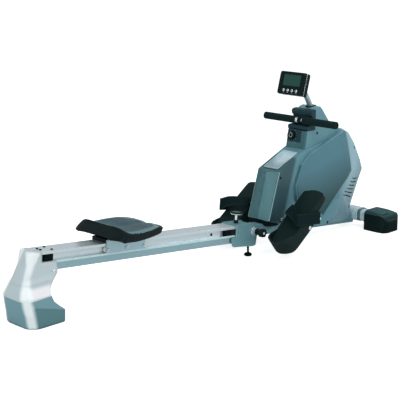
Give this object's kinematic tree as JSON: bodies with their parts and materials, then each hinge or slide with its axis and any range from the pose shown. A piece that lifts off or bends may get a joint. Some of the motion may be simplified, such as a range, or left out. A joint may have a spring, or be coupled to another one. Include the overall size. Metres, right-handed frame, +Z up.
{
  "type": "rowing machine",
  "caption": "Folding rowing machine with a rolling saddle seat on an inclined rail, flywheel housing, strap pull handle, swinging footplates, console and rear foot.",
  "frame": {"origin": "on the floor, under the middle of the machine's box", "axes": "+X along the machine towards the flywheel end, +Y across it towards the far side, +Z up"},
  "size_m": [2.186, 0.4763, 0.8192],
  "materials": {
    "rail_aluminium": "satin anodised",
    "foot_silver": "satin silver plastic",
    "frame_paint": "satin powder coat",
    "silver_metal": "satin silver",
    "bright_steel": "polished",
    "housing_plastic": "satin metallic plastic",
    "panel_plastic": "satin metallic plastic",
    "black_plastic": "fine texture",
    "black_rubber": "matt",
    "seat_cover": "matt grained",
    "grip_foam": "matt foam",
    "nylon": "satin",
    "webbing": "woven",
    "screen": "glossy",
    "button_grey": "satin"
  },
  "bodies": {
    "base": {"base_beam": "frame_paint", "upright_post": "silver_metal", "bearing_bracket": "silver_metal", "flywheel_axle": "bright_steel", "drum_axle": "bright_steel", "front_stabiliser": "silver_metal", "stabiliser_cap_near": "black_plastic", "stabiliser_cap_far": "black_plastic", "housing_shell_near": "housing_plastic", "housing_shell_far": "housing_plastic", "side_panel_near": "panel_plastic", "side_panel_far": "panel_plastic", "tray": "silver_metal", "knob_panel": "black_plastic", "handle_cradle": "black_plastic", "console_arm": "silver_metal", "arm_grommet": "black_rubber", "drive_belt": "black_rubber", "strap_run": "webbing", "strap_roller": "nylon", "pedal_axle": "bright_steel", "hinge_bolt": "bright_steel"},
    "rail_body": {"rail": "rail_aluminium", "rail_sleeve": "frame_paint", "rear_foot": "foot_silver", "bumper_front_near": "black_rubber", "bumper_front_far": "black_rubber", "bumper_rear_near": "black_rubber", "bumper_rear_far": "black_rubber"},
    "lock_body": {"lock_pin": "black_plastic"},
    "hinge_knob_body": {"hinge_knob": "black_plastic"},
    "levelling_foot_body": {"levelling_foot": "black_rubber"},
    "seat_body": {"seat_pad": "seat_cover", "seat_base": "black_plastic", "seat_carriage": "silver_metal"},
    "seat_roller_front_near_body": {"seat_roller_front_near": "nylon"},
    "seat_roller_front_far_body": {"seat_roller_front_far": "nylon"},
    "seat_roller_rear_near_body": {"seat_roller_rear_near": "nylon"},
    "seat_roller_rear_far_body": {"seat_roller_rear_far": "nylon"},
    "handle_body": {"handle_bar": "bright_steel", "grip_near": "grip_foam", "grip_far": "grip_foam", "strap_loop": "webbing", "strap": "webbing"},
    "drum_body": {"strap_drum": "nylon"},
    "flywheel_body": {"flywheel": "bright_steel"},
    "tension_knob_body": {"tension_knob": "black_plastic"},
    "magnet_body": {"magnet_arm": "silver_metal"},
    "pedal_near_body": {"footplate_near": "black_plastic", "foot_strap_near": "webbing"},
    "pedal_far_body": {"footplate_far": "black_plastic", "foot_strap_far": "webbing"},
    "wheel_near_body": {"transport_wheel_near": "black_rubber"},
    "wheel_far_body": {"transport_wheel_far": "black_rubber"},
    "console_body": {"console_case": "black_plastic", "console_screen": "screen"},
    "button_1_body": {"button_1": "button_grey"},
    "button_2_body": {"button_2": "button_grey"},
    "button_3_body": {"button_3": "button_grey"},
    "button_4_body": {"button_4": "button_grey"}
  },
  "joints": [
    {"name": "rail_fold", "type": "hinge", "parent": "base", "child": "rail_body", "pos_m": [0.206, 0, 0.1275], "axis": [0, 1, 0], "range_deg": [0, 66]},
    {"name": "seat_slide", "type": "slide", "parent": "rail_body", "child": "seat_body", "axis": [0.995, 0, -0.1002], "range_m": [-0.236, 0.465]},
    {"name": "seat_roller_front_near_spin", "type": "hinge", "parent": "seat_body", "child": "seat_roller_front_near_body", "pos_m": [-0.46999, 0, 0.2015], "axis": [0, 1, 0], "range_deg": [-1045.54, 1965.62]},
    {"name": "seat_roller_front_far_spin", "type": "hinge", "parent": "seat_body", "child": "seat_roller_front_far_body", "pos_m": [-0.46999, 0, 0.2015], "axis": [0, 1, 0], "range_deg": [-1045.54, 1965.62]},
    {"name": "seat_roller_rear_near_spin", "type": "hinge", "parent": "seat_body", "child": "seat_roller_rear_near_body", "pos_m": [-0.66102, 0, 0.22073], "axis": [0, 1, 0], "range_deg": [-1045.54, 1965.62]},
    {"name": "seat_roller_rear_far_spin", "type": "hinge", "parent": "seat_body", "child": "seat_roller_rear_far_body", "pos_m": [-0.66102, 0, 0.22073], "axis": [0, 1, 0], "range_deg": [-1045.54, 1965.62]},
    {"name": "handle_pull", "type": "slide", "parent": "base", "child": "handle_body", "axis": [1, 0, 0], "range_m": [-1.2, 0], "deforming": ["strap"]},
    {"name": "drum_spin", "type": "hinge", "parent": "base", "child": "drum_body", "pos_m": [0.65, 0, 0.4], "axis": [0, 1, 0], "range_deg": [-2214.95, 1]},
    {"name": "flywheel_spin", "type": "hinge", "parent": "base", "child": "flywheel_body", "pos_m": [0.806, 0, 0.3], "axis": [0, 1, 0], "continuous": true},
    {"name": "tension_knob_turn", "type": "hinge", "parent": "base", "child": "tension_knob_body", "pos_m": [0.54531, 0.024, 0.517], "axis": [-0.9849, 0, 0.1733], "range_deg": [0, 286]},
    {"name": "magnet_swing", "type": "hinge", "parent": "base", "child": "magnet_body", "pos_m": [0.75846, 0, 0.16938], "axis": [0, 1, 0], "range_deg": [-8, 0]},
    {"name": "pedal_near_rock", "type": "hinge", "parent": "base", "child": "pedal_near_body", "pos_m": [0.39, -0.162, 0.14], "axis": [0, 1, 0], "range_deg": [-22, 22]},
    {"name": "pedal_far_rock", "type": "hinge", "parent": "base", "child": "pedal_far_body", "pos_m": [0.39, 0.162, 0.14], "axis": [0, 1, 0], "range_deg": [-22, 22]},
    {"name": "transport_wheel_near_spin", "type": "hinge", "parent": "base", "child": "wheel_near_body", "pos_m": [1.053, -0.058, 0.027], "axis": [0, 1, 0], "continuous": true},
    {"name": "transport_wheel_far_spin", "type": "hinge", "parent": "base", "child": "wheel_far_body", "pos_m": [1.053, 0.058, 0.027], "axis": [0, 1, 0], "continuous": true},
    {"name": "hinge_knob_turn", "type": "hinge", "parent": "base", "child": "hinge_knob_body", "pos_m": [0.206, -0.095, 0.1275], "axis": [0, 1, 0], "range_deg": [0, 720]},
    {"name": "lock_pin_pull", "type": "slide", "parent": "rail_body", "child": "lock_body", "axis": [0.1002, 0, 0.995], "range_m": [0, 0.012]},
    {"name": "levelling_foot_turn", "type": "hinge", "parent": "base", "child": "levelling_foot_body", "pos_m": [0.21558, 0, 0], "axis": [0, 0, 1], "continuous": true},
    {"name": "console_tilt", "type": "hinge", "parent": "base", "child": "console_body", "pos_m": [0.55186, 0, 0.76581], "axis": [0, 1, 0], "range_deg": [-20, 20]},
    {"name": "button_1_press", "type": "slide", "parent": "console_body", "child": "button_1_body", "axis": [0.9627, 0, -0.2706], "range_m": [0, 0.0015], "stiffness_N_per_m": 300},
    {"name": "button_2_press", "type": "slide", "parent": "console_body", "child": "button_2_body", "axis": [0.9627, 0, -0.2706], "range_m": [0, 0.0015], "stiffness_N_per_m": 300},
    {"name": "button_3_press", "type": "slide", "parent": "console_body", "child": "button_3_body", "axis": [0.9627, 0, -0.2706], "range_m": [0, 0.0015], "stiffness_N_per_m": 300},
    {"name": "button_4_press", "type": "slide", "parent": "console_body", "child": "button_4_body", "axis": [0.9627, 0, -0.2706], "range_m": [0, 0.0015], "stiffness_N_per_m": 300}
  ],
  "couplings": [
    {"joint": "seat_roller_front_near_spin", "follows": "seat_slide", "rad_per_m": 72.993},
    {"joint": "seat_roller_front_far_spin", "follows": "seat_slide", "rad_per_m": 72.993},
    {"joint": "seat_roller_rear_near_spin", "follows": "seat_slide", "rad_per_m": 72.993},
    {"joint": "seat_roller_rear_far_spin", "follows": "seat_slide", "rad_per_m": 72.993},
    {"joint": "drum_spin", "follows": "handle_pull", "rad_per_m": 31.949},
    {"joint": "magnet_swing", "follows": "tension_knob_turn", "ratio": -0.027622}
  ]
}
